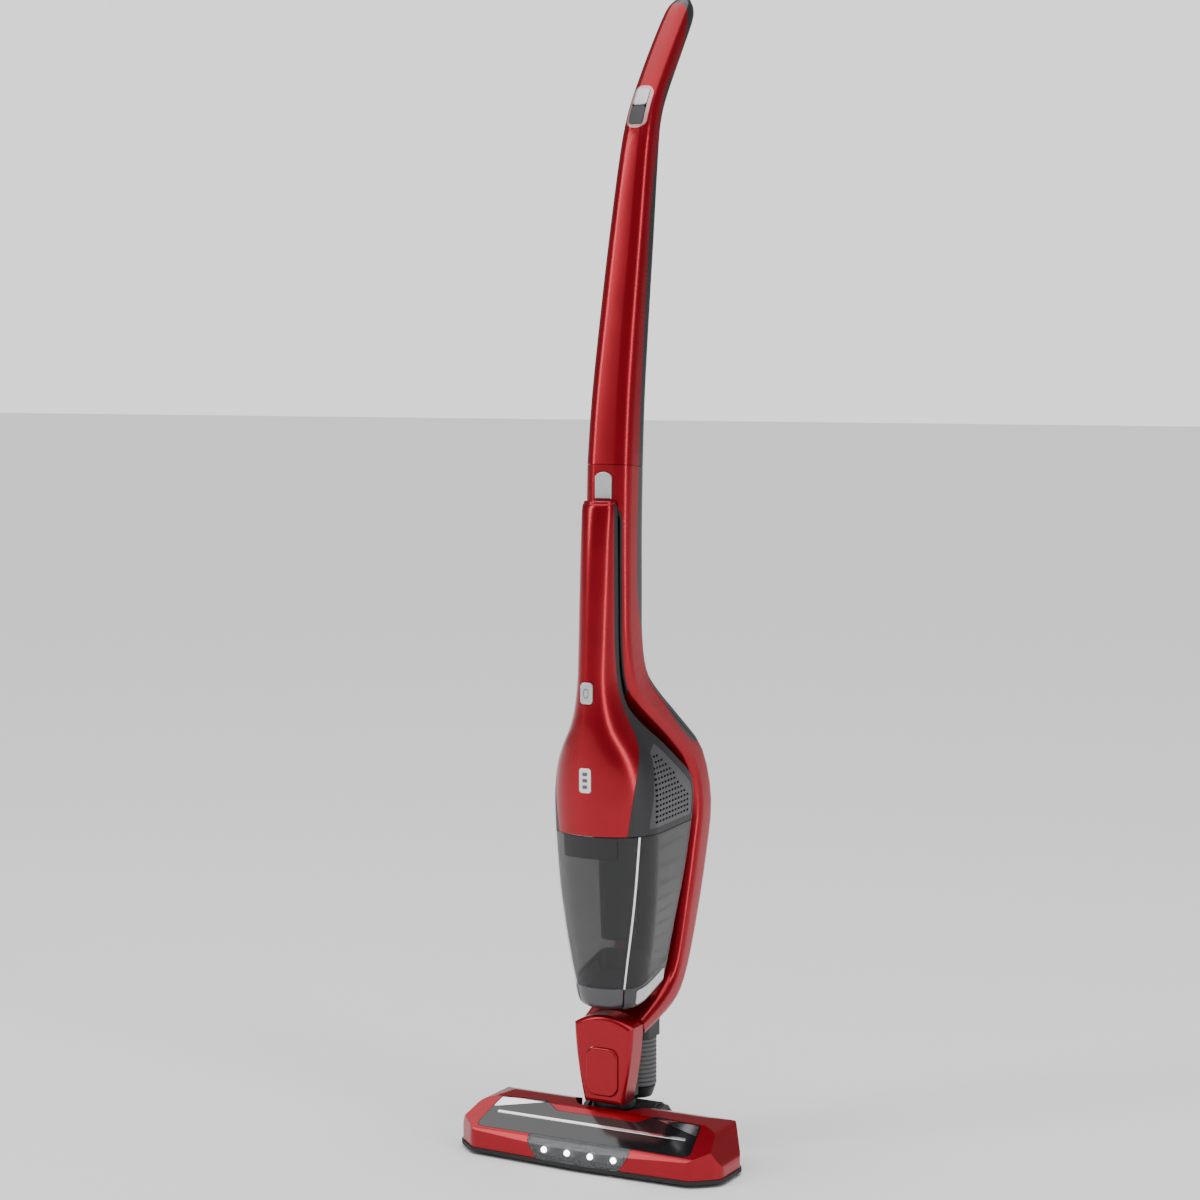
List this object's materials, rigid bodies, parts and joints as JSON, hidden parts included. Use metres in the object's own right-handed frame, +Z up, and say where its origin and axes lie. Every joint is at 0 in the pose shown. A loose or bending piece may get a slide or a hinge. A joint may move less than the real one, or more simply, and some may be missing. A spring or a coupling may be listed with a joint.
{
  "type": "upright vacuum cleaner",
  "caption": "Slim upright vacuum cleaner with lift-out handheld unit, clear dust cup, swivelling neck and wide floor nozzle with brush roll.",
  "frame": {"origin": "on the floor under the foot of the upright body, centre of the resting strip", "axes": "+Z up, front faces -Y, X across"},
  "size_m": [0.2908, 0.2359, 1.1463],
  "materials": {
    "red_gloss": "gloss metallic",
    "red_side": "satin metallic",
    "dark_plastic": "matte",
    "grey_plastic": "satin",
    "silver_plastic": "satin metallic",
    "rose_trim": "satin metallic",
    "gunmetal": "satin",
    "bright_trim": "polished",
    "smoke_clear": "polished",
    "black_gloss": "gloss",
    "clear_lens": "polished",
    "rubber": "matte",
    "hose_grey": "satin",
    "steel": "brushed",
    "white_plastic": "satin",
    "board_green": "satin",
    "bristle": "fibre",
    "felt": "felt",
    "cell_wrap": "satin",
    "filter_mesh": "satin"
  },
  "bodies": {
    "floor_nozzle": {"nozzle_shell": "red_gloss", "brush_window": "black_gloss", "nozzle_trims": "bright_trim", "headlight_lens": "clear_lens", "bumper": "rubber", "sole_plate": "dark_plastic", "lint_strip": "felt", "brush_bearings": "steel", "brush_housing": "dark_plastic", "brush_motor": "steel", "headlight_board": "white_plastic", "hinge_carriage": "dark_plastic", "axle_pins": "steel", "drive_belt": "rubber"},
    "brush_roll": {"brush_core": "grey_plastic", "brush_bristles": "bristle"},
    "pinion": {"motor_pinion": "steel"},
    "roller_right": {"front_roller_right": "grey_plastic"},
    "roller_left": {"front_roller_left": "grey_plastic"},
    "wheel_right": {"rear_wheel_right": "rubber"},
    "wheel_left": {"rear_wheel_left": "rubber"},
    "neck": {"tilt_elbow": "dark_plastic", "lower_hose_cuff": "dark_plastic"},
    "upright": {"ribbed_hose": "hose_grey", "upper_hose_cuff": "dark_plastic", "pedestal_shell": "red_gloss", "pedestal_core": "dark_plastic", "swivel_collar": "dark_plastic", "body_front_shell": "red_side", "body_rear_cover": "grey_plastic", "docking_liner": "dark_plastic", "handle_front_shell": "red_gloss", "handle_rear_cover": "grey_plastic", "handle_sleeve": "dark_plastic", "switch_bezel": "rose_trim"},
    "brush_select_button": {"pedestal_button": "red_gloss"},
    "handheld_release": {"release_button": "silver_plastic"},
    "speed_switch": {"speed_button": "silver_plastic"},
    "on_switch": {"power_switch": "grey_plastic"},
    "handheld": {"handheld_front_shell": "red_gloss", "handheld_rear_shell": "dark_plastic", "side_grilles": "grey_plastic", "handheld_bulkhead": "dark_plastic", "suction_motor": "steel", "battery_cells": "cell_wrap", "control_board": "board_green", "battery_window": "white_plastic"},
    "fan": {"suction_fan": "white_plastic"},
    "handheld_switch": {"handheld_power_button": "silver_plastic"},
    "cup": {"dust_cup": "smoke_clear", "cup_visor": "dark_plastic", "cup_rear_housing": "smoke_clear", "cup_base": "grey_plastic", "cup_floor": "dark_plastic", "nose_band": "gunmetal", "edge_strips": "bright_trim", "coarse_filter": "filter_mesh", "fine_filter": "felt"},
    "latch_right": {"cup_latch_right": "silver_plastic"},
    "latch_left": {"cup_latch_left": "silver_plastic"}
  },
  "joints": [
    {"name": "brush_roll_spin", "type": "hinge", "parent": "floor_nozzle", "child": "brush_roll", "pos_m": [0, -0.05, 0.0148], "axis": [1, 0, 0], "continuous": true},
    {"name": "pinion_spin", "type": "hinge", "parent": "floor_nozzle", "child": "pinion", "pos_m": [0.098, -0.016, 0.021], "axis": [1, 0, 0], "continuous": true},
    {"name": "roller_right_spin", "type": "hinge", "parent": "floor_nozzle", "child": "roller_right", "pos_m": [0.1155, -0.056, 0.006], "axis": [1, 0, 0], "continuous": true},
    {"name": "roller_left_spin", "type": "hinge", "parent": "floor_nozzle", "child": "roller_left", "pos_m": [-0.1155, -0.056, 0.006], "axis": [1, 0, 0], "continuous": true},
    {"name": "wheel_right_spin", "type": "hinge", "parent": "floor_nozzle", "child": "wheel_right", "pos_m": [0.048, 0.056, 0.015], "axis": [1, 0, 0], "continuous": true},
    {"name": "wheel_left_spin", "type": "hinge", "parent": "floor_nozzle", "child": "wheel_left", "pos_m": [-0.048, 0.056, 0.015], "axis": [1, 0, 0], "continuous": true},
    {"name": "neck_tilt", "type": "hinge", "parent": "floor_nozzle", "child": "neck", "pos_m": [0, 0.036, 0.027], "axis": [-1, 0, 0], "range_deg": [0, 70]},
    {"name": "upright_swivel", "type": "hinge", "parent": "neck", "child": "upright", "pos_m": [0, 0.006, 0.045], "axis": [0, 0, 1], "range_deg": [-50, 50], "deforming": ["ribbed_hose"]},
    {"name": "brush_select_press", "type": "slide", "parent": "upright", "child": "brush_select_button", "axis": [0, 1, 0], "range_m": [0, 0.003], "stiffness_N_per_m": 800},
    {"name": "handheld_release_press", "type": "slide", "parent": "upright", "child": "handheld_release", "axis": [0, 1, 0], "range_m": [0, 0.0025], "stiffness_N_per_m": 700},
    {"name": "speed_press", "type": "slide", "parent": "upright", "child": "speed_switch", "axis": [0, 0.9063, -0.4226], "range_m": [0, 0.0012], "stiffness_N_per_m": 900},
    {"name": "on_press", "type": "slide", "parent": "upright", "child": "on_switch", "axis": [0, 0.9063, -0.4226], "range_m": [0, 0.0012], "stiffness_N_per_m": 900},
    {"name": "handheld_lift_out", "type": "slide", "parent": "upright", "child": "handheld", "axis": [0, -1, 0], "range_m": [0, 0.25]},
    {"name": "handheld_power_press", "type": "slide", "parent": "handheld", "child": "handheld_switch", "axis": [0, 1, 0], "range_m": [0, 0.0012], "stiffness_N_per_m": 900},
    {"name": "fan_spin", "type": "hinge", "parent": "handheld", "child": "fan", "pos_m": [0, 0.044, 0.34], "axis": [0, 0, 1], "continuous": true},
    {"name": "cup_lift_out", "type": "slide", "parent": "handheld", "child": "cup", "axis": [0, -1, 0], "range_m": [0, 0.15]},
    {"name": "latch_right_press", "type": "slide", "parent": "cup", "child": "latch_right", "axis": [-1, 0, 0], "range_m": [0, 0.002], "stiffness_N_per_m": 900},
    {"name": "latch_left_press", "type": "slide", "parent": "cup", "child": "latch_left", "axis": [1, 0, 0], "range_m": [0, 0.002], "stiffness_N_per_m": 900}
  ],
  "couplings": [
    {"joint": "pinion_spin", "follows": "brush_roll_spin", "ratio": 2}
  ]
}
